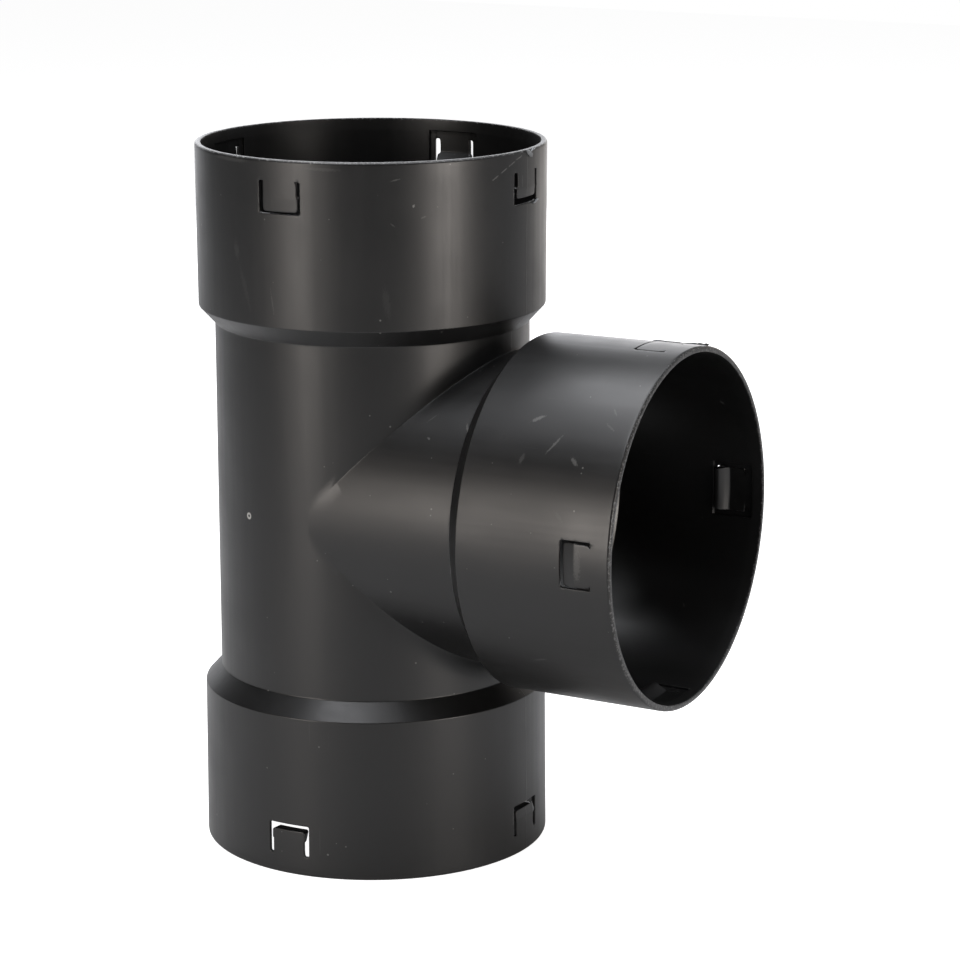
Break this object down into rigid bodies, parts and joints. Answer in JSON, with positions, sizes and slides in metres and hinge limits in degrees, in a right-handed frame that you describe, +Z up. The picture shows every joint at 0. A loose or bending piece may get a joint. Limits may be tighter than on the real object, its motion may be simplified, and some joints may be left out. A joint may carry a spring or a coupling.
{
  "type": "drain pipe tee",
  "caption": "Black moulded tee for corrugated drain pipe, with an equal branch square to the run and wide snap sockets with inward spring tabs.",
  "frame": {"origin": "centre of the lower mouth, on the axis of the straight run, in the plane it stands on", "axes": "+Z up along the straight run, +X along the branch towards its mouth"},
  "size_m": [0.189, 0.1272, 0.255],
  "materials": {
    "black_plastic": "semi-matt moulded black polyethylene"
  },
  "bodies": {
    "root": {"tee_body": "black_plastic"}
  },
  "joints": []
}
